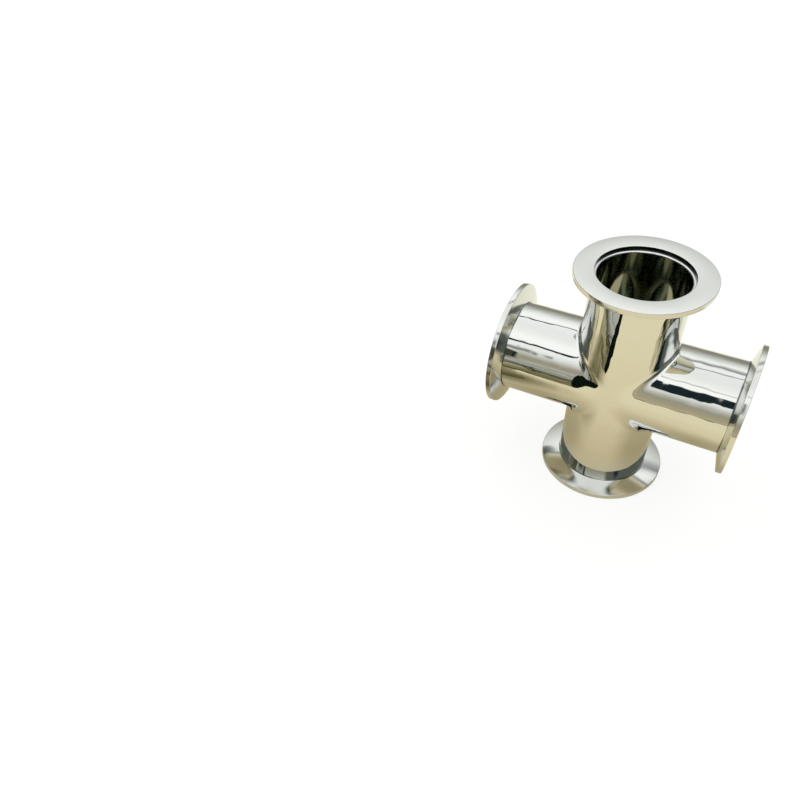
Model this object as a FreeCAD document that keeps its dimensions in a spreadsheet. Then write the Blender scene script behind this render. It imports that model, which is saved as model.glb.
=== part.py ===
import FreeCAD, Part
import os
import Sketcher
from FreeCAD import Placement, Rotation, Vector

# Four-way vacuum cross fitting with quick-release flanges, nominal bore 50 mm.
# A run of polished stainless tube is crossed at its middle by a branch of the same tube,
# drawn out on both sides, and a rolled round blends the two where they meet.
# A turned clamping flange sits on each of the four tube ends.
# Origin at the crossing of the two centre lines, +Z up the run, +X along the branch.
# The fitting stands on the face of its lower flange.

doc = FreeCAD.newDocument("vacuum_cross_fitting")

# Driving dimensions, in millimetres and degrees
sizes = doc.addObject("Spreadsheet::Sheet", "sizes")
DRIVING_SIZES = (
    ("reach", 70.0, "crossing centre to each sealing face"),
    ("tube_outside", 54.0, "outside diameter of the tube"),
    ("tube_wall", 2.5, "wall of the tube"),
    ("branch_inset", 0.1, "how far the drawn-out branch skin lies inside the run's"),
    ("crotch_round", 5.0, "radius rolled along the seam where run and branch meet"),
    ("flange_outside", 75.0, "outside diameter of the clamping flange"),
    ("rim_width", 3.0, "height of the flange's outer rim"),
    ("taper_angle", 15.0, "slope of the flange's clamped back, in degrees"),
    ("recess_bore", 52.3, "diameter of the recess that takes a centring ring"),
    ("recess_depth", 2.3, "depth of that recess"),
    ("ledge", 1.2, "thickness of the ledge between recess and tube end"),
    ("socket_gap", 0.03, "radial gap between tube and flange socket"),
    ("edge_break", 0.3, "bevel on the turned edges: rim, recess mouth and socket mouth"),
)
for row, (name, value, meaning) in enumerate(DRIVING_SIZES, 1):
    sizes.set("A%d" % row, name)
    sizes.set("B%d" % row, str(value))
    sizes.set("C%d" % row, meaning)
    sizes.setAlias("B%d" % row, name)
doc.recompute()


def origin_item(body, role):
    """The plane or axis of a body's own origin that has this role."""
    return [item for item in body.Origin.OriginFeatures if item.Role == role][0]


def new_sketch(body, name, plane):
    """An empty sketch on one of the body's origin planes."""
    sketch = body.newObject("Sketcher::SketchObject", name)
    sketch.AttachmentSupport = [(origin_item(body, plane), "")]
    sketch.MapMode = "FlatFace"
    return sketch


def circle_sketch(body, name, plane, diameter):
    """A circle about the sketch's centre, with its diameter bound to an expression."""
    sketch = new_sketch(body, name, plane)
    sketch.addGeometry(Part.Circle(Vector(0, 0, 0), Vector(0, 0, 1), 20.0))
    sketch.addConstraint(Sketcher.Constraint("Coincident", 0, 3, -1, 1))
    sketch.addConstraint(Sketcher.Constraint("Diameter", 0, 40.0))
    sketch.setExpression("Constraints[1]", diameter)
    return sketch


# Cross body: run and branch of one tube, blended where they meet, then bored both ways

def round_bar(body, name, plane, diameter):
    """A solid bar through the crossing, as long as the tube between the flange ledges."""
    bar = body.newObject("PartDesign::Pad", name)
    bar.Profile = circle_sketch(body, name + "_outline", plane, diameter)
    bar.SideType = "Symmetric"
    bar.setExpression("Length", "2 * (sizes.reach - sizes.recess_depth - sizes.ledge)")
    doc.recompute()
    return bar


def bore_through(body, name, plane):
    """A bore of the tube's inside diameter, cut both ways from the crossing."""
    bore = body.newObject("PartDesign::Pocket", name)
    inside = "sizes.tube_outside - 2 * sizes.tube_wall"
    bore.Profile = circle_sketch(body, name + "_outline", plane, inside)
    bore.SideType = "Symmetric"
    bore.setExpression("Length", "2 * sizes.reach")
    doc.recompute()
    return bore


def seam_edges(shape):
    """The curved seams between run and branch: every edge that is no circle or line."""
    plain = ("Part::GeomCircle", "Part::GeomLine")
    return ["Edge%d" % number for number, edge in enumerate(shape.Edges, 1)
            if edge.Curve.TypeId not in plain]


cross_body = doc.addObject("PartDesign::Body", "cross_body")
round_bar(cross_body, "run_bar", "XY_Plane", "sizes.tube_outside")
branch = round_bar(cross_body, "branch_bar", "YZ_Plane",
                   "sizes.tube_outside - 2 * sizes.branch_inset")
blend = cross_body.newObject("PartDesign::Fillet", "crotch_blend")
blend.Base = (branch, seam_edges(branch.Shape))
blend.setExpression("Radius", "sizes.crotch_round")
doc.recompute()
bore_through(cross_body, "run_bore", "XY_Plane")
bore_through(cross_body, "branch_bore", "YZ_Plane")


# Clamping flange: turned in its own frame, sealing face at zero, body of the ring below it

SOCKET_RADIUS = "sizes.tube_outside / 2 + sizes.socket_gap"
RIM_RADIUS = "sizes.flange_outside / 2"
RECESS_RADIUS = "sizes.recess_bore / 2"
BORE_RADIUS = "sizes.tube_outside / 2 - sizes.tube_wall"
LEDGE_BACK = "sizes.recess_depth + sizes.ledge"
TAPER_END = ("sizes.rim_width + (sizes.flange_outside / 2 - sizes.tube_outside / 2"
             " - sizes.socket_gap) * tan(sizes.taper_angle * 1 deg)")

# Corners of the turned section, in order: radius, depth below the sealing face, a rough
# first place that the constraints then set exactly, and what the finished corner is.
# The recess mouth, both edges of the rim and the socket mouth get a bevel.
FLANGE_CORNERS = (
    (RECESS_RADIUS, None, (26, 0), "bevelled"),
    (RIM_RADIUS, None, (37, 0), "bevelled"),
    (RIM_RADIUS, "sizes.rim_width", (37, 3), "bevelled"),
    (SOCKET_RADIUS, TAPER_END, (27, 6), "bevelled"),
    (SOCKET_RADIUS, LEDGE_BACK, (27, 3.5), "sharp"),
    (BORE_RADIUS, LEDGE_BACK, (24, 3.5), "sharp"),
    (BORE_RADIUS, "sizes.recess_depth", (24, 2), "sharp"),
    (RECESS_RADIUS, "sizes.recess_depth", (26, 2), "sharp"),
)


def flange_section(body):
    """The half section of the flange, each corner bound to the sheet by radius and depth."""
    sketch = new_sketch(body, body.Name + "_section", "XZ_Plane")
    corners = [Vector(across, -down, 0) for _, _, (across, down), _ in FLANGE_CORNERS]
    count = len(corners)
    for index in range(count):
        following = corners[(index + 1) % count]
        sketch.addGeometry(Part.LineSegment(corners[index], following))
    for index in range(count):
        joined = Sketcher.Constraint("Coincident", index, 2, (index + 1) % count, 1)
        sketch.addConstraint(joined)
    for index, (radius, depth, _, _) in enumerate(FLANGE_CORNERS):
        guess = corners[index]
        across = sketch.addConstraint(
            Sketcher.Constraint("DistanceX", -1, 1, index, 1, guess.x))
        sketch.setExpression("Constraints[%d]" % across, radius)
        if depth is None:
            sketch.addConstraint(Sketcher.Constraint("PointOnObject", index, 1, -1))
        else:
            down = sketch.addConstraint(
                Sketcher.Constraint("DistanceY", index, 1, -1, 1, -guess.y))
            sketch.setExpression("Constraints[%d]" % down, depth)
    return sketch


def ring_edges(shape, rings):
    """Names of the circular edges that lie at one of these radii and depths."""
    names = []
    for number, edge in enumerate(shape.Edges, 1):
        if edge.Curve.TypeId != "Part::GeomCircle":
            continue
        radius, depth = edge.Curve.Radius, -edge.Curve.Center.z
        if any(abs(radius - r) < 1e-4 and abs(depth - d) < 1e-4 for r, d in rings):
            names.append("Edge%d" % number)
    return names


def ring_at(sketch, corner):
    """Radius and depth of one corner of the section, read back from the solved sketch."""
    point = sketch.getPoint(corner, 1)
    return point.x, -point.y


def turned_flange(name):
    """One flange: its section turned about the axis, then every sharp outer edge broken."""
    body = doc.addObject("PartDesign::Body", name)
    section = flange_section(body)
    ring = body.newObject("PartDesign::Revolution", name + "_ring")
    ring.Profile = section
    ring.ReferenceAxis = (section, ["V_Axis"])
    ring.Angle = 360.0
    doc.recompute()
    sharp_rings = [ring_at(section, index) for index, corner in enumerate(FLANGE_CORNERS)
                   if corner[3] == "bevelled"]
    bevels = body.newObject("PartDesign::Chamfer", name + "_bevels")
    bevels.Base = (ring, ring_edges(ring.Shape, sharp_rings))
    bevels.setExpression("Size", "sizes.edge_break")
    doc.recompute()
    return body


# Each flange faces outwards: the axis it is moved along with its place there, and the angle
# that points it, in degrees about Y
FLANGE_PLACES = (
    ("flange_top", "z", "sizes.reach"),
    ("flange_bottom", "z", "-sizes.reach"),
    ("flange_right", "x", "sizes.reach"),
    ("flange_left", "x", "-sizes.reach"),
)
FLANGE_ANGLES = {"flange_top": 0, "flange_bottom": 180, "flange_right": 90, "flange_left": -90}
flanges = []
for name, axis, place in FLANGE_PLACES:
    flange = turned_flange(name)
    flange.Placement = Placement(Vector(0, 0, 0), Rotation(Vector(0, 1, 0), FLANGE_ANGLES[name]))
    flange.setExpression("Placement.Base." + axis, place)
    flanges.append(flange)
doc.recompute()

# Checks of the whole document, then one file for each piece

for item in doc.Objects:
    if "Invalid" in item.State or "Error" in item.State:
        raise RuntimeError("%s failed to build: %s" % (item.Name, item.State))

pieces = [cross_body] + flanges
for piece in pieces:
    piece.Label = piece.Name
    if piece.Shape.isNull() or not piece.Shape.isValid() or len(piece.Shape.Solids) != 1:
        raise RuntimeError("%s has no sound solid" % piece.Label)

os.makedirs("parts", exist_ok=True)
for piece in pieces:
    piece.Shape.exportStep("parts/%s.step" % piece.Label)
    print("%s: %.0f cubic mm" % (piece.Label, piece.Shape.Volume))
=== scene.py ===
import math

import bmesh
import bpy
from mathutils import Matrix, Vector


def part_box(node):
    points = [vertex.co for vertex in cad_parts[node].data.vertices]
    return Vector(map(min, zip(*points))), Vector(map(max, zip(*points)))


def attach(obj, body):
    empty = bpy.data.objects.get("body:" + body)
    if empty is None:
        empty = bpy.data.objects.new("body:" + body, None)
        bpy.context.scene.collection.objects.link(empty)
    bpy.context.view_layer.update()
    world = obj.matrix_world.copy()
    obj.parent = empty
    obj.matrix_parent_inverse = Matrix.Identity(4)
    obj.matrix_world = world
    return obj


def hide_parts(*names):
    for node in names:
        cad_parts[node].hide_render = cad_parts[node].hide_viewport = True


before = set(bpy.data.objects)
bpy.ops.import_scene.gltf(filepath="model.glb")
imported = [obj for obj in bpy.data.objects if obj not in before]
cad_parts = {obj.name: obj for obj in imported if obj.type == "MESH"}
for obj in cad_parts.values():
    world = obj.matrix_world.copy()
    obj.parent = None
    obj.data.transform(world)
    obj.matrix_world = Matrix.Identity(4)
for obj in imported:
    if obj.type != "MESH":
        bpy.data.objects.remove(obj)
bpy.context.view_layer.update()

# Cross body: a run of stainless tube with a branch of the same tube drawn out on both
# sides, their crossing rolled and hammered smooth, the whole skin buffed to a mirror and
# the bores left as drawn. The skin is meshed finely, because a mirror shows every facet.

body_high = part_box("cross_body")[1]
TUBE_RADIUS = body_high.y
TUBE_END = body_high.z
WALL = 0.0025
BORE_RADIUS = TUBE_RADIUS - WALL
CROTCH_WIDTH_FLAT = 0.009
CROTCH_WIDTH_SIDE = 0.0025
CROTCH_SQUARENESS = 2.5
STEPS_ROUND = 180
ROWS_ALONG = 12
ROWS_ACROSS_CROTCH = 24
WELDED_WITHIN = 1e-6
SHARP_FROM = math.radians(40)

BUFFED_COLOUR = (0.77, 0.78, 0.765)
BUFFED_ROUGHNESS = 0.035
SWELL_SPAN = 0.011
SWELL_DEPTH = 0.00022
LINE_WIDTH = 0.0022
LINE_DEPTH = 0.000030
LINE_DRAWN_OUT = 0.05
CREASE_SHADE_COLOUR = (0.16, 0.18, 0.17)
FLANGE_CREASE_FROM = 0.0647
FLANGE_CREASE_WANDER = 0.0020
ARM_SHADE_COLOUR = (0.04, 0.045, 0.04)
STREAK_RAGGEDNESS = 0.0012
STREAK_SOFTNESS = 0.0012
DULL_ROUGHNESS = 0.25
BORE_SHADE_COLOUR = (0.32, 0.345, 0.295)
BORE_ROUGHNESS = 0.09
BORE_LINE_WIDTH = 0.0030
BORE_LINE_DEPTH = 0.000022


def spread(start, end, count):
    """Evenly spaced values from start to end, both ends included."""
    return [start + (end - start) * step / count for step in range(count + 1)]


def add_grid(mesh, columns, material=0, smooth=True):
    """Quads between neighbouring columns of points, which all have the same count."""
    rows = [[mesh.verts.new(point) for point in column] for column in columns]
    for left, right in zip(rows, rows[1:]):
        for index in range(len(left) - 1):
            face = mesh.faces.new([left[index], right[index], right[index + 1], left[index + 1]])
            face.smooth = smooth
            face.material_index = material


def crotch_arc(y, half, share, thickness):
    """Across the crotch at one level of y: a soft corner from the run's skin to the branch's.

    The corner is a superellipse, flatter at its ends than a circle, so that reflections
    run into it without a kink. It is wider near the flat of the crossing than at its side,
    and wider by the wall's thickness on the inside of the tube.
    """
    eased = share * share * (3 - 2 * share)
    width = CROTCH_WIDTH_FLAT + (CROTCH_WIDTH_SIDE - CROTCH_WIDTH_FLAT) * eased + thickness
    centre = half + width
    arc = []
    for angle in spread(0, math.pi / 2, ROWS_ACROSS_CROTCH):
        x = centre - width * math.cos(angle) ** (2 / CROTCH_SQUARENESS)
        z = centre - width * max(0.0, math.sin(angle)) ** (2 / CROTCH_SQUARENESS)
        arc.append(Vector((x, y, z)))
    arc[-1].x = centre
    return arc


def body_quarter(radius, thickness):
    """Grids of one quarter of a cross, right and up: crotch, flat front and back, and run."""
    levels = [(-math.cos(turn), math.sin(turn)) for turn in spread(0, math.pi, STEPS_ROUND)]
    arcs = [crotch_arc(radius * y, radius * half, half, thickness) for y, half in levels]
    front_flat = [[Vector((0, point.y, 0)), point] for point in arcs[0]]
    back_flat = [[Vector((0, point.y, 0)), point] for point in arcs[-1]]
    run = [[Vector((arc[0].x, arc[0].y, z)) for z in spread(arc[0].z, TUBE_END, ROWS_ALONG)]
           for arc in arcs]
    return arcs, front_flat, back_flat, run


def swapped(columns):
    """The same columns along the branch instead of the run."""
    return [[Vector((point.z, point.y, point.x)) for point in column] for column in columns]


def mirrored(columns, x, z):
    """The same columns in another quarter of the cross."""
    return [[Vector((point.x * x, point.y, point.z * z)) for point in column]
            for column in columns]


def body_skin():
    """Outside 0 and bore 1, mirrored from one quarter and joined by the cut tube ends."""
    skin = bmesh.new()
    outside = body_quarter(TUBE_RADIUS, 0.0)
    inside = body_quarter(BORE_RADIUS, WALL)
    tube_end = [[outer[-1], inner[-1]] for outer, inner in zip(outside[-1], inside[-1])]
    for x in (1, -1):
        for z in (1, -1):
            for material, grids in enumerate((outside, inside)):
                for columns in (*grids, swapped(grids[-1])):
                    add_grid(skin, mirrored(columns, x, z), material)
            for columns in (tube_end, swapped(tube_end)):
                add_grid(skin, mirrored(columns, x, z), smooth=False)
    bmesh.ops.remove_doubles(skin, verts=skin.verts, dist=WELDED_WITHIN)
    bmesh.ops.dissolve_degenerate(skin, dist=WELDED_WITHIN, edges=skin.edges)
    bmesh.ops.recalc_face_normals(skin, faces=skin.faces)
    for edge in skin.edges:
        if edge.is_manifold and edge.calc_face_angle() > SHARP_FROM:
            edge.smooth = False
    return skin


def object_from(mesh, name, *materials):
    """Turns a finished bmesh into an object that rides with the fitting."""
    data = bpy.data.meshes.new(name)
    mesh.to_mesh(data)
    mesh.free()
    for material in materials:
        data.materials.append(material)
    piece = bpy.data.objects.new(name, data)
    bpy.context.scene.collection.objects.link(piece)
    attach(piece, "root")
    return piece


def steel(name, colour, roughness):
    """Bare stainless steel: a metal shader with its colour and roughness."""
    material = bpy.data.materials.new(name)
    material.use_nodes = True
    shader = material.node_tree.nodes["Principled BSDF"]
    shader.inputs["Metallic"].default_value = 1.0
    shader.inputs["Base Color"].default_value = (*colour, 1.0)
    shader.inputs["Roughness"].default_value = roughness
    return material, material.node_tree, shader


def maths(tree, operation, *values):
    """One math node: its inputs are sockets or plain numbers, and its result is returned."""
    node = tree.nodes.new("ShaderNodeMath")
    node.operation = operation
    for socket, value in zip(node.inputs, values):
        if isinstance(value, (int, float)):
            socket.default_value = value
        else:
            tree.links.new(value, socket)
    return node.outputs[0]


def all_of(tree, first, *others):
    """Shares multiplied together: one only where every one of them is."""
    for other in others:
        first = maths(tree, "MULTIPLY", first, other)
    return first


def any_of(tree, first, *others):
    """The largest of several shares."""
    for other in others:
        first = maths(tree, "MAXIMUM", first, other)
    return first


def remapped(tree, value, from_low, from_high, to_low, to_high):
    """A value eased from one range to another and held at the ends."""
    node = tree.nodes.new("ShaderNodeMapRange")
    node.interpolation_type = "SMOOTHSTEP"
    for name, number in (("From Min", from_low), ("From Max", from_high),
                         ("To Min", to_low), ("To Max", to_high)):
        node.inputs[name].default_value = number
    tree.links.new(value, node.inputs["Value"])
    return node.outputs[0]


def rising(tree, value, start, end):
    """Nought below start, one above end, eased between."""
    return remapped(tree, value, start, end, 0.0, 1.0)


def falling(tree, value, start, end, top=1.0):
    """Top below start, nought above end, eased between."""
    return remapped(tree, value, start, end, top, 0.0)


def blended(tree, factor, first, second):
    """Colour mix by a factor; the colours are sockets or plain triples."""
    node = tree.nodes.new("ShaderNodeMix")
    node.data_type = "RGBA"
    tree.links.new(factor, node.inputs[0])
    for socket, value in ((node.inputs[6], first), (node.inputs[7], second)):
        if isinstance(value, tuple):
            socket.default_value = (*value, 1.0)
        else:
            tree.links.new(value, socket)
    return node.outputs[2]


def noise(tree, place, size, detail=2.0):
    """Soft noise with features about this many metres across."""
    node = tree.nodes.new("ShaderNodeTexNoise")
    node.inputs["Scale"].default_value = 1.0 / size
    node.inputs["Detail"].default_value = detail
    tree.links.new(place, node.inputs["Vector"])
    return node.outputs["Fac"]


def raised(tree, shader, height, depth, below=None):
    """Bump on a shader: a height from 0 to 1, over a depth in metres, on top of another bump."""
    bump = tree.nodes.new("ShaderNodeBump")
    bump.inputs["Distance"].default_value = depth
    tree.links.new(height, bump.inputs["Height"])
    if below is not None:
        tree.links.new(below, bump.inputs["Normal"])
    tree.links.new(bump.outputs[0], shader.inputs["Normal"])
    return bump.outputs[0]


def object_place(tree):
    """Coordinates fixed to the piece, in metres."""
    return tree.nodes.new("ShaderNodeTexCoord").outputs["Object"]


def stretched(tree, place, x, y, z):
    """Coordinates scaled along each axis: below one draws a pattern out, above one tightens it."""
    node = tree.nodes.new("ShaderNodeVectorMath")
    node.operation = "MULTIPLY"
    tree.links.new(place, node.inputs[0])
    node.inputs[1].default_value = (x, y, z)
    return node.outputs[0]


def along_axes(tree, place):
    """A place's X, Y and Z."""
    split = tree.nodes.new("ShaderNodeSeparateXYZ")
    tree.links.new(place, split.inputs[0])
    return split.outputs


def out_from_crossing(tree, place):
    """How far a place lies out from the crossing's middle along X, Y and Z, on either side."""
    return [maths(tree, "ABSOLUTE", axis) for axis in along_axes(tree, place)]


def drawing_lines(tree, place, width):
    """Fine lines left by drawing the tube: along Z on the run and along X on the branch."""
    out_x, _, out_z = out_from_crossing(tree, place)
    on_branch = rising(tree, maths(tree, "SUBTRACT", out_x, out_z), -0.004, 0.004)
    on_run = maths(tree, "SUBTRACT", 1.0, on_branch)
    along_run = noise(tree, stretched(tree, place, 1, 1, LINE_DRAWN_OUT), width)
    along_branch = noise(tree, stretched(tree, place, LINE_DRAWN_OUT, 1, 1), width)
    return maths(tree, "ADD", all_of(tree, along_run, on_run),
                 all_of(tree, along_branch, on_branch))


def dull_shaded_creases(tree, place, out_x, out_y, out_z):
    """Dull where the wheel stops short, and darkened there with painted shade: in a line beside
    each flange and deep in the crotch.
    """
    wander = all_of(tree, noise(tree, place, 0.014), FLANGE_CREASE_WANDER)
    outwards = maths(tree, "ADD", any_of(tree, out_x, out_z), wander)
    at_flange = rising(tree, outwards, FLANGE_CREASE_FROM, FLANGE_CREASE_FROM + 0.0005)
    off_seam = maths(tree, "ABSOLUTE", maths(tree, "SUBTRACT", out_x, out_z))
    at_seam = falling(tree, off_seam, 0.0002, 0.0007, 0.35)
    deep = falling(tree, out_y, 0.0175, 0.0205)
    return any_of(tree, at_flange, all_of(tree, at_seam, deep))


def shade_streak_under_arm(tree, place, out_x, out_y, out_z):
    """A ragged streak of painted shade under each arm beside the crossing, rougher there too."""
    height = along_axes(tree, place)["Z"]
    middle = remapped(tree, out_x, 0.0215, 0.0275, 0.0206, 0.0232)
    half_width = remapped(tree, out_x, 0.0205, 0.0270, 0.0028, 0.0004)
    ragged = all_of(tree, noise(tree, place, 0.002), STREAK_RAGGEDNESS)
    off_middle = maths(tree, "ABSOLUTE", maths(tree, "SUBTRACT", out_y, middle))
    off_middle = maths(tree, "ADD", off_middle, ragged)
    past_edge = maths(tree, "SUBTRACT", off_middle, half_width)
    past_seam = maths(tree, "SUBTRACT", out_x, out_z)
    on_arm = all_of(tree, rising(tree, past_seam, -0.0030, -0.0015),
                    rising(tree, out_x, 0.0195, 0.0205), falling(tree, out_x, 0.0290, 0.0400))
    underneath = falling(tree, height, -0.0125, -0.0105)
    return all_of(tree, falling(tree, past_edge, 0.0, STREAK_SOFTNESS), on_arm, underneath)


def buffed_steel():
    """Mirror skin with the swell of hand buffing over drawing lines, dull where no wheel goes,
    with painted shade in the creases and under the arms.
    """
    material, tree, shader = steel("buffed_steel", BUFFED_COLOUR, BUFFED_ROUGHNESS)
    place = object_place(tree)
    swell = raised(tree, shader, noise(tree, place, SWELL_SPAN, 1.0), SWELL_DEPTH)
    raised(tree, shader, drawing_lines(tree, place, LINE_WIDTH), LINE_DEPTH, swell)
    out = out_from_crossing(tree, place)
    dull_shaded_crease = dull_shaded_creases(tree, place, *out)
    arm_shade_streak = shade_streak_under_arm(tree, place, *out)
    # Painted shade: the crease lines beside the flanges and in the crotch darken the skin's
    # colour.
    colour = blended(tree, dull_shaded_crease, BUFFED_COLOUR, CREASE_SHADE_COLOUR)
    # Painted shade: a streak under each arm darkens the skin's colour further.
    colour = blended(tree, arm_shade_streak, colour, ARM_SHADE_COLOUR)
    tree.links.new(colour, shader.inputs["Base Color"])
    # The tint goes black, or else the painted shade streak would shine where it is seen edge-on.
    tint = blended(tree, arm_shade_streak, (1.0, 1.0, 1.0), (0.0, 0.0, 0.0))
    tree.links.new(tint, shader.inputs["Specular Tint"])
    dull = any_of(tree, dull_shaded_crease, arm_shade_streak)
    roughness = remapped(tree, dull, 0.0, 1.0, BUFFED_ROUGHNESS, DULL_ROUGHNESS)
    tree.links.new(roughness, shader.inputs["Roughness"])
    return material


def drawn_bore_steel():
    """Bore as it left the drawing die, with lines along the tube, and coloured darker than the
    skin as painted shade inside the tube.
    """
    material, tree, shader = steel("drawn_bore_steel", BORE_SHADE_COLOUR, BORE_ROUGHNESS)
    lines = drawing_lines(tree, object_place(tree), BORE_LINE_WIDTH)
    raised(tree, shader, lines, BORE_LINE_DEPTH)
    return material


body = object_from(body_skin(), "polished_body", buffed_steel(), drawn_bore_steel())
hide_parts("cross_body")

# Clamping flanges: four rings turned from bar, with a satin sealing face, a shallow
# recess for the centring ring, a thin rim and a bright fifteen-degree back. Each is
# pushed over its tube end and welded inside.

flange_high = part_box("flange_top")[1]
RIM_RADIUS = flange_high.x
REACH = flange_high.z
RIM_WIDTH = 0.003
TAPER = math.radians(15)
SOCKET_GAP = 0.00003
SOCKET_RADIUS = TUBE_RADIUS + SOCKET_GAP
RECESS_RADIUS = 0.02615
RECESS_DEPTH = 0.0023
LEDGE = 0.0012
EDGE_BREAK = 0.0003
SOCKET_BREAK = 0.0005
LEDGE_ROUND = 0.0011
LEDGE_ROUND_ACROSS = 0.0015
ROUND_STEPS = 5
TURNS = 360
FLANGE_SHARP_FROM = math.radians(25)
HAIR = 1e-5

FACED, TURNED, SMOOTH, RECESS_WALL = range(4)
FACED_COLOUR = (0.84, 0.85, 0.845)
TURNED_COLOUR = (0.74, 0.75, 0.735)
RECESS_COLOUR = (0.80, 0.805, 0.80)
RECESS_WALL_SHADE_COLOUR = (0.05, 0.06, 0.06)
UV_PER_METRE = 20
MARK_STRETCH = (0.02, 0.05, 1)
FACE_MARK = 0.0004
RING_MARK = 0.0005


def flange_profile():
    """Half section as (radius, depth) corners, each with the reach of its round or rounds."""
    taper_end = RIM_WIDTH + (RIM_RADIUS - SOCKET_RADIUS) * math.tan(TAPER)
    ledge_back = RECESS_DEPTH + LEDGE
    return [
        (RECESS_RADIUS, 0, EDGE_BREAK),
        (RIM_RADIUS, 0, EDGE_BREAK),
        (RIM_RADIUS, RIM_WIDTH, EDGE_BREAK),
        (SOCKET_RADIUS, taper_end, SOCKET_BREAK),
        (SOCKET_RADIUS, ledge_back, 0),
        (BORE_RADIUS, ledge_back, 0),
        (BORE_RADIUS, RECESS_DEPTH, LEDGE_ROUND, LEDGE_ROUND_ACROSS),
        (RECESS_RADIUS, RECESS_DEPTH, 0),
    ]


def rounded(corners):
    """The section's outline with each broken corner replaced by a short arc."""
    outline = []
    for index, (radius, depth, *rounds) in enumerate(corners):
        here = Vector((radius, depth))
        before = Vector(corners[index - 1][:2]) - here
        after = Vector(corners[(index + 1) % len(corners)][:2]) - here
        if not rounds[0]:
            outline.append(here)
            continue
        start = here + before.normalized() * rounds[0]
        end = here + after.normalized() * rounds[-1]
        for share in spread(0, 1, ROUND_STEPS):
            rest = 1 - share
            outline.append(start * rest ** 2 + here * 2 * share * rest + end * share ** 2)
    return outline


def finish_between(first, second):
    """What a stretch of the section is: faced, turned, smooth, or the recess's wall."""
    nearest = min(first.x, second.x)
    farthest = max(first.x, second.x)
    if max(first.y, second.y) < HAIR:
        return FACED
    if nearest > RECESS_RADIUS - HAIR and farthest < RECESS_RADIUS + HAIR:
        return RECESS_WALL
    in_socket = (min(first.y, second.y) > RIM_WIDTH
                 and farthest < SOCKET_RADIUS + SOCKET_BREAK + HAIR)
    if in_socket or nearest < RECESS_RADIUS + EDGE_BREAK + HAIR:
        return SMOOTH
    return TURNED


def turned_ring(outline):
    """The outline turned about the axis, sealing face up, with (turn, run) as its UV map."""
    mesh = bmesh.new()
    loops = []
    for turn in range(TURNS):
        angle = 2 * math.pi * turn / TURNS
        x, y = math.cos(angle), math.sin(angle)
        loops.append([mesh.verts.new((p.x * x, p.x * y, REACH - p.y)) for p in outline])
    uv = mesh.loops.layers.uv.new("turning")
    runs = [0.0]
    for first, second in zip(outline, outline[1:] + outline[:1]):
        runs.append(runs[-1] + (second - first).length)
    for turn in range(TURNS):
        left, right = loops[turn], loops[(turn + 1) % TURNS]
        for index in range(len(outline)):
            following = (index + 1) % len(outline)
            face = mesh.faces.new([left[index], right[index], right[following], left[following]])
            face.smooth = True
            face.material_index = finish_between(outline[index], outline[following])
            places = ((turn, index), (turn + 1, index), (turn + 1, index + 1), (turn, index + 1))
            for corner, (around, along) in zip(face.loops, places):
                corner[uv].uv = (around / TURNS, runs[along] * UV_PER_METRE)
    bmesh.ops.recalc_face_normals(mesh, faces=mesh.faces)
    return mesh


def turning_marks(tree, width):
    """Rings left by the turning tool, close together across the turned surface."""
    turn_and_run = tree.nodes.new("ShaderNodeUVMap")
    turn_and_run.uv_map = "turning"
    return noise(tree, stretched(tree, turn_and_run.outputs[0], *MARK_STRETCH), width)


def ringed_steel(name, colour, roughness, mark_width, mark_depth):
    """Steel with the turning tool's rings in it."""
    material, tree, shader = steel(name, colour, roughness)
    raised(tree, shader, turning_marks(tree, mark_width), mark_depth)
    return material, tree, shader


def across_rings(tree, shader, amount):
    """Turned steel blurs a reflection across its rings and keeps it crisp along them."""
    tangent = tree.nodes.new("ShaderNodeTangent")
    tangent.direction_type = "UV_MAP"
    tangent.uv_map = "turning"
    tree.links.new(tangent.outputs[0], shader.inputs["Tangent"])
    shader.inputs["Anisotropic"].default_value = amount
    shader.inputs["Anisotropic Rotation"].default_value = 0.25


def faced_steel():
    """Satin sealing face, a little duller in patches where it has been handled."""
    material, tree, shader = ringed_steel("faced_steel", FACED_COLOUR, 0.24, FACE_MARK, 0.000010)
    handled = noise(tree, object_place(tree), 0.018)
    roughness = remapped(tree, handled, 0.35, 0.65, 0.20, 0.28)
    tree.links.new(roughness, shader.inputs["Roughness"])
    return material


def turned_steel():
    """Bright rim and back, as they left the tool."""
    material, tree, shader = ringed_steel("turned_steel", TURNED_COLOUR, 0.13, RING_MARK, 0.000010)
    across_rings(tree, shader, 0.8)
    return material


faced, turned = faced_steel(), turned_steel()
recess = ringed_steel("recess_steel", RECESS_COLOUR, 0.12, RING_MARK, 0.000004)[0]
# The recess's wall is near-black: painted shade in the recess.
recess_wall = ringed_steel("recess_wall_steel", RECESS_WALL_SHADE_COLOUR, 0.22, RING_MARK, 0.000008)[0]

FLANGE_TURNS = {"top": 0, "bottom": 180, "right": 90, "left": -90}
for side, degrees in FLANGE_TURNS.items():
    ring = turned_ring(rounded(flange_profile()))
    ring.transform(Matrix.Rotation(math.radians(degrees), 4, "Y"))
    flange = object_from(ring, "turned_flange_" + side, faced, turned, recess, recess_wall)
    flange.data.set_sharp_from_angle(angle=FLANGE_SHARP_FROM)
    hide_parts("flange_" + side)

# Table: a warm cream cloth laid over a bench that ends in front of the fitting. The lens
# sees it bleached to white and the mirror skin sees its cream, darker far off and past
# the bench's edge.

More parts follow.
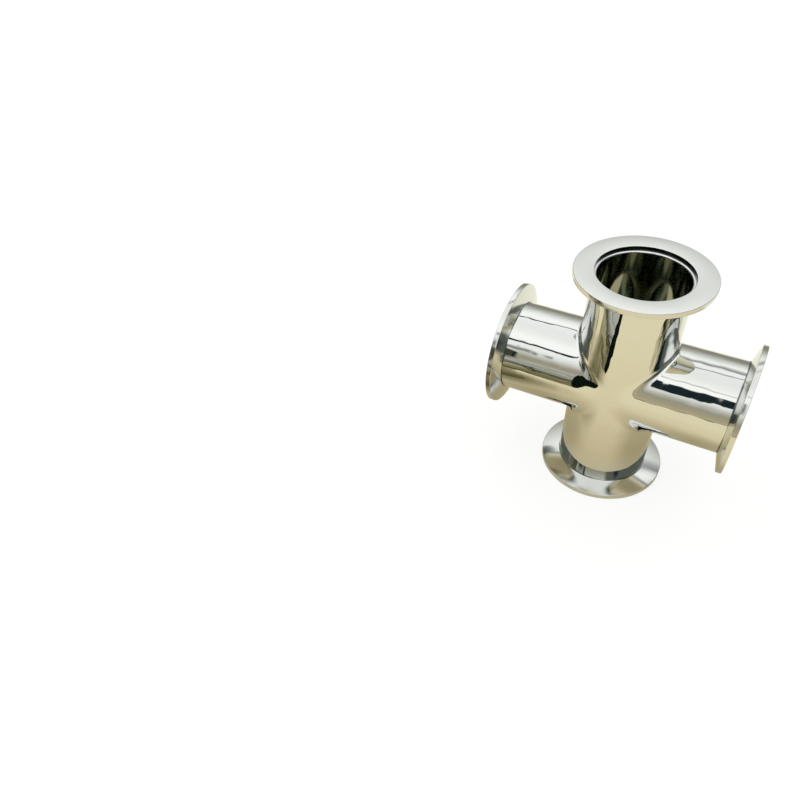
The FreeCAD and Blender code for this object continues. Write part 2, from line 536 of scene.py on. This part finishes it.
FLOOR_HALF = 3.0
FLOOR_CLEARANCE = 0.0001
NEAR_SPAN = 0.2
NEAR_CREAM_AND_FOOT_SHADOW = ((0.18, (0.62, 0.57, 0.40)), (0.27, (0.69, 0.59, 0.36)),
              (0.50, (0.84, 0.74, 0.48)), (0.95, (0.89, 0.80, 0.54)))
CREAM_BEHIND = (0.98, 0.96, 0.82)
FAR_CREAM = (0.50, 0.44, 0.29)
FAR_BEHIND = (0.28, 0.27, 0.22)
BENCH_EDGE = (-0.60, -0.54)
EDGE_COLOUR = (0.08, 0.06, 0.03)
SHADE_COLOUR = (0.14, 0.11, 0.04)
SHADE_PLACE = (-0.095, -0.085, -REACH)
SOFT_CREAM = (0.74, 0.67, 0.43)
WHITE = (1.0, 1.0, 1.0)
CLOTH_GLOW = 1.12


def shade(tree, kind, colour, strength=None):
    """A plain shader node of one colour, with a strength if it glows."""
    node = tree.nodes.new(kind)
    if isinstance(colour, tuple):
        node.inputs["Color"].default_value = (*colour, 1.0)
    else:
        tree.links.new(colour, node.inputs["Color"])
    if strength is not None:
        node.inputs["Strength"].default_value = strength
    return node.outputs[0]


def mixed(tree, factor, first, second):
    """Two shaders mixed by a socket or a number."""
    node = tree.nodes.new("ShaderNodeMixShader")
    if isinstance(factor, float):
        node.inputs[0].default_value = factor
    else:
        tree.links.new(factor, node.inputs[0])
    tree.links.new(first, node.inputs[1])
    tree.links.new(second, node.inputs[2])
    return node.outputs[0]


def glowing(tree, share, colour):
    """A matt colour, of which a share glows, as lit cloth does."""
    return mixed(tree, share, shade(tree, "ShaderNodeBsdfDiffuse", colour),
                 shade(tree, "ShaderNodeEmission", colour, CLOTH_GLOW))


def apart(tree, place, centre):
    """Distance of a place from a fixed point, in metres."""
    node = tree.nodes.new("ShaderNodeVectorMath")
    node.operation = "DISTANCE"
    tree.links.new(place, node.inputs[0])
    node.inputs[1].default_value = centre
    return node.outputs["Value"]


def graded(tree, value, *stops):
    """A colour that changes along a value from 0 to 1, given as (place, colour) stops."""
    node = tree.nodes.new("ShaderNodeValToRGB")
    tree.links.new(value, node.inputs[0])
    for element, (place, colour) in zip(list(node.color_ramp.elements), (stops[0], stops[-1])):
        element.position = place
        element.color = (*colour, 1.0)
    for place, colour in stops[1:-1]:
        node.color_ramp.elements.new(place).color = (*colour, 1.0)
    return node.outputs[0]


def band(tree, value, low, high, soft):
    """One between low and high, nought outside, with a soft edge at either side."""
    rise = rising(tree, value, low - soft, low + soft)
    fall = falling(tree, value, high - soft, high + soft)
    return all_of(tree, rise, fall)


def cream_in_metal(tree):
    """The cloth's colour from place to place, as the mirror skin sees it, with painted shadow
    round the fitting's foot, under its arms and beside the side stand.
    """
    spot = tree.nodes.new("ShaderNodeNewGeometry").outputs["Position"]
    x, y, _ = along_axes(tree, spot)
    out_x = maths(tree, "ABSOLUTE", x)
    foot = apart(tree, spot, (0.0, 0.0, -REACH))
    behind = rising(tree, y, 0.06, 0.16)
    # Painted shadow: the cream darkens towards the fitting's foot.
    near = graded(tree, maths(tree, "DIVIDE", foot, NEAR_SPAN), *NEAR_CREAM_AND_FOOT_SHADOW)
    near = blended(tree, behind, near, CREAM_BEHIND)
    far = blended(tree, behind, FAR_CREAM, FAR_BEHIND)
    far_back = all_of(tree, rising(tree, foot, 0.22, 0.75), rising(tree, y, -0.30, -0.10))
    beside = rising(tree, out_x, 0.18, 0.60)
    past_edge = falling(tree, y, -0.60, -0.52)
    cream = blended(tree, any_of(tree, far_back, beside, past_edge), near, far)
    edge = all_of(tree, band(tree, y, *BENCH_EDGE, 0.015), 0.85)
    cream = blended(tree, edge, cream, EDGE_COLOUR)
    out_y = maths(tree, "ABSOLUTE", maths(tree, "SUBTRACT", y, 0.005))
    # Painted shadow of the arms on the cloth beneath them.
    arms_shadow_on_cloth = all_of(tree, band(tree, out_x, 0.035, 0.095, 0.02),
                        falling(tree, out_y, 0.03, 0.085, 0.40))
    # Painted shadow of the side stand, which casts none of its own.
    stand_shadow_on_cloth = falling(tree, apart(tree, spot, SHADE_PLACE), 0.02, 0.075, 0.85)
    return blended(tree, any_of(tree, stand_shadow_on_cloth, arms_shadow_on_cloth), cream, SHADE_COLOUR)


def cream_cloth():
    """White to the lens, cream to the metal, and a plain soft cream to all other light."""
    material = bpy.data.materials.new("cream_cloth")
    material.use_nodes = True
    tree = material.node_tree
    tree.nodes.clear()
    rays = tree.nodes.new("ShaderNodeLightPath").outputs
    plain = shade(tree, "ShaderNodeBsdfDiffuse", SOFT_CREAM)
    in_metal = glowing(tree, 0.65, cream_in_metal(tree))
    surface = mixed(tree, rays["Is Glossy Ray"], plain, in_metal)
    surface = mixed(tree, rays["Is Camera Ray"], surface, glowing(tree, 0.72, WHITE))
    output = tree.nodes.new("ShaderNodeOutputMaterial")
    tree.links.new(surface, output.inputs["Surface"])
    return material


cloth_mesh = bmesh.new()
bmesh.ops.create_grid(cloth_mesh, x_segments=1, y_segments=1, size=FLOOR_HALF)
cloth_data = bpy.data.meshes.new("cloth")
cloth_mesh.to_mesh(cloth_data)
cloth_mesh.free()
cloth_data.materials.append(cream_cloth())
cloth = bpy.data.objects.new("cloth", cloth_data)
cloth.location.z = -REACH - FLOOR_CLEARANCE
bpy.context.scene.collection.objects.link(cloth)

# Light tent: white cloth hung round the table and lit from above, with an opening for the
# camera, sewn seams, folds, two posts and dark sides. It lights the fitting, and the mirror
# skin takes its look from it. Bearings off the front and lifts are in degrees.

FRONT_CLOTH = ((0.0, (0.45, 0.40, 0.27)), (0.22, (0.39, 0.36, 0.27)), (0.38, (0.64, 0.65, 0.59)),
               (0.50, (0.93, 0.94, 0.90)), (0.78, (1.20, 1.20, 1.18)), (0.88, (1.20, 1.20, 1.18)),
               (1.0, (1.00, 1.01, 0.99)))
BACK_CLOTH = ((0.0, (0.28, 0.28, 0.23)), (0.18, (0.32, 0.31, 0.27)), (0.38, (0.56, 0.57, 0.52)),
              (0.60, (0.98, 0.99, 0.96)), (0.76, (1.20, 1.21, 1.19)), (1.0, (1.00, 1.01, 0.99)))
DARK_SIDE = (0.125, 0.145, 0.12)
DARK_MARK = (0.012, 0.022, 0.026)
FRINGE_SHADE = (0.12, 0.12, 0.09)
LOW_FOLD_SHADE = (0.12, 0.13, 0.115)
FOLD_SHADE = (0.20, 0.21, 0.20)
BACK_SLANT = 38.0


def tent_cloth(sky, across, along, height):
    """The walls, brightest overhead, from front to back, with their dark sides."""
    wall = blended(sky, rising(sky, along, -0.20, 0.12), graded(sky, height, *FRONT_CLOTH),
                   graded(sky, height, *BACK_CLOTH))
    dark_left = all_of(sky, falling(sky, across, -0.80, -0.60), falling(sky, height, 0.48, 0.62))
    dark_right = all_of(sky, rising(sky, across, 0.42, 0.56), falling(sky, height, 0.56, 0.70))
    return blended(sky, any_of(sky, dark_left, dark_right), wall, DARK_SIDE)


def degrees_between(sky, rise, run):
    """The angle in degrees whose tangent is rise over run."""
    return maths(sky, "MULTIPLY", maths(sky, "ARCTAN2", rise, run), 180.0 / math.pi)


def camera_opening(sky, bearing, lift):
    """The slit for the camera: its sill steps up and its lintel steps down across it."""
    sill = maths(sky, "SUBTRACT", lift, remapped(sky, bearing, -1.5, 1.5, 0.0, 5.0))
    lintel = maths(sky, "ADD", lift, remapped(sky, bearing, -7.0, -4.8, 9.0, 0.0))
    return all_of(sky, rising(sky, sill, 29.5, 31.5), falling(sky, lintel, 48.5, 51.0),
                  band(sky, bearing, -6.4, 3.0, 0.6))


def tent_marks(sky, wall, across, along, height):
    """Shaded folds, then the near-black opening, posts and seams, over the walls."""
    forward = maths(sky, "MULTIPLY", along, -1.0)
    bearing = degrees_between(sky, across, forward)
    lift = degrees_between(sky, height, forward)
    lift_back = degrees_between(sky, height, along)
    slanting = maths(sky, "ADD", lift_back, maths(sky, "MULTIPLY", across, BACK_SLANT))

    fringe = all_of(sky, band(sky, lift, 31.5, 50.0, 1.0), band(sky, bearing, 3.0, 6.0, 1.0))
    low_fold = all_of(sky, band(sky, lift, 26.5, 32.5, 1.5), band(sky, bearing, -26.0, -13.9, 1.3))
    high_fold = all_of(sky, band(sky, lift, 60.5, 63.0, 1.0), band(sky, bearing, -10.0, 50.0, 2.0))
    back_folds = any_of(sky, band(sky, slanting, 48.0, 57.0, 4.0),
                        band(sky, slanting, 69.5, 72.5, 1.2))
    back_folds = all_of(sky, back_folds, rising(sky, across, -0.12, -0.04))
    for fold, share, colour in ((fringe, 0.8, FRINGE_SHADE), (low_fold, 0.75, LOW_FOLD_SHADE),
                                (high_fold, 0.5, FOLD_SHADE), (back_folds, 0.70, FOLD_SHADE)):
        wall = blended(sky, all_of(sky, fold, share), wall, colour)

    posts = any_of(sky, band(sky, bearing, 50.0, 61.0, 1.5), band(sky, bearing, -38.0, -25.0, 3.0))
    posts = all_of(sky, posts, falling(sky, height, 0.28, 0.44))
    seam_front = all_of(sky, band(sky, lift, 45.4, 49.8, 0.8),
                        band(sky, bearing, -26.0, -13.6, 0.8))
    seam_drop = all_of(sky, band(sky, bearing, -22.5, -18.5, 1.0),
                       band(sky, height, 0.10, 0.58, 0.03))
    seam_back = all_of(sky, band(sky, slanting, 53.2, 56.8, 0.9),
                       remapped(sky, across, -0.14, -0.06, 1.0, 0.4))
    opening = camera_opening(sky, bearing, lift)
    marks = any_of(sky, opening, posts, seam_front, seam_drop, seam_back)
    return blended(sky, marks, wall, DARK_MARK)


tent = bpy.data.worlds.new("light_tent")
bpy.context.scene.world = tent
tent.use_nodes = True
sky = tent.node_tree
sky.nodes.clear()
looking = sky.nodes.new("ShaderNodeTexCoord").outputs["Generated"]
direction = list(along_axes(sky, looking))
tent_light = tent_marks(sky, tent_cloth(sky, *direction), *direction)
from_lens = sky.nodes.new("ShaderNodeLightPath").outputs["Is Camera Ray"]
seen = mixed(sky, from_lens, shade(sky, "ShaderNodeBackground", tent_light),
             shade(sky, "ShaderNodeBackground", WHITE))
tent_output = sky.nodes.new("ShaderNodeOutputWorld")
sky.links.new(seen, tent_output.inputs["Surface"])

# Side stand: a stand-in, in front of the fitting and to its left, for a neighbouring fitting: a
# polished post with a cross bar and a round black card on the bar's end, the card painted shade
# for that fitting's dark bore. The camera doesn't see it, and the mirror skin gets its dark edges
# from it.

BAR_PLACE = Vector((-0.0945, -0.0874, -0.005))
BAR_TURN = math.radians(1.5)
BAR_RADIUS = 0.0222
BAR_REACH = 0.067
CARD_RADIUS = 0.0215
POST_FOOT = -REACH
POST_TOP = 0.035
BAR_STEPS = 96
CARD_STEPS = 64
STAND_COLOUR = (0.42, 0.42, 0.36)
CARD_SHADE_COLOUR = (0.010, 0.018, 0.016)


def stand_mesh():
    """Post, cross bar and card about the bar's middle, with the card as material 1."""
    mesh = bmesh.new()
    lying = Matrix.Rotation(math.radians(90), 4, "Y")
    bmesh.ops.create_cone(mesh, segments=BAR_STEPS, radius1=BAR_RADIUS, radius2=BAR_RADIUS,
                          depth=2 * BAR_REACH, matrix=lying)
    post_middle = (POST_FOOT + POST_TOP) / 2 - BAR_PLACE.z
    standing = Matrix.Translation((0, 0, post_middle))
    bmesh.ops.create_cone(mesh, segments=BAR_STEPS, cap_ends=True, radius1=BAR_RADIUS,
                          radius2=BAR_RADIUS, depth=POST_TOP - POST_FOOT, matrix=standing)
    end = lying @ Matrix.Translation((0, 0, BAR_REACH))
    card = bmesh.ops.create_circle(mesh, cap_ends=True, segments=CARD_STEPS, radius=CARD_RADIUS,
                                   matrix=end)
    for face in mesh.faces:
        face.smooth = len(face.verts) == 4
    for face in {face for vert in card["verts"] for face in vert.link_faces}:
        face.material_index = 1
    return mesh


def shade_card():
    """Matt black card: painted shade standing in for a neighbouring fitting's dark bore."""
    material = bpy.data.materials.new("shade_card")
    material.use_nodes = True
    tree = material.node_tree
    matt = shade(tree, "ShaderNodeBsdfDiffuse", CARD_SHADE_COLOUR)
    tree.links.new(matt, tree.nodes["Material Output"].inputs["Surface"])
    return material


stand_data = bpy.data.meshes.new("side_stand")
made_stand = stand_mesh()
made_stand.to_mesh(stand_data)
made_stand.free()
stand_data.materials.append(steel("stand_steel", STAND_COLOUR, 0.08)[0])
stand_data.materials.append(shade_card())
stand_data.set_sharp_from_angle(angle=SHARP_FROM)
stand = bpy.data.objects.new("side_stand", stand_data)
stand.matrix_world = Matrix.Translation(BAR_PLACE) @ Matrix.Rotation(BAR_TURN, 4, "Z")
stand.visible_camera = False
stand.visible_diffuse = False
stand.visible_shadow = False
bpy.context.scene.collection.objects.link(stand)

# Camera: where the photograph was taken from, almost straight in front of the fitting and
# about forty degrees above it. It looks past the fitting's left, so that the fitting stands
# at the right of the frame, as it does there.

EYE = Vector((0.0520, -0.3617, 0.2932))
AIM = Vector((-0.37105, 0.59407, -0.71373))
IMAGE_RIGHT = Vector((0.86982, 0.49148, -0.04311))
FOCAL_PIXELS = 747.4
FRAME_PIXELS = 800
CENTRE_X, CENTRE_Y = 375.5, 445.5
SENSOR_WIDTH = 36
camera_data = bpy.data.cameras.new("camera")
camera_data.sensor_width = SENSOR_WIDTH
camera_data.lens = SENSOR_WIDTH * FOCAL_PIXELS / FRAME_PIXELS
camera_data.shift_x = (FRAME_PIXELS / 2 - CENTRE_X) / FRAME_PIXELS
camera_data.shift_y = (CENTRE_Y - FRAME_PIXELS / 2) / FRAME_PIXELS
camera_data.clip_start = 0.01
camera = bpy.data.objects.new("camera", camera_data)
bpy.context.scene.collection.objects.link(camera)
turn = Matrix((IMAGE_RIGHT, IMAGE_RIGHT.cross(AIM), -AIM)).transposed().to_4x4()
camera.matrix_world = Matrix.Translation(EYE) @ turn
bpy.context.scene.camera = camera
bpy.context.scene.view_settings.view_transform = "Standard"
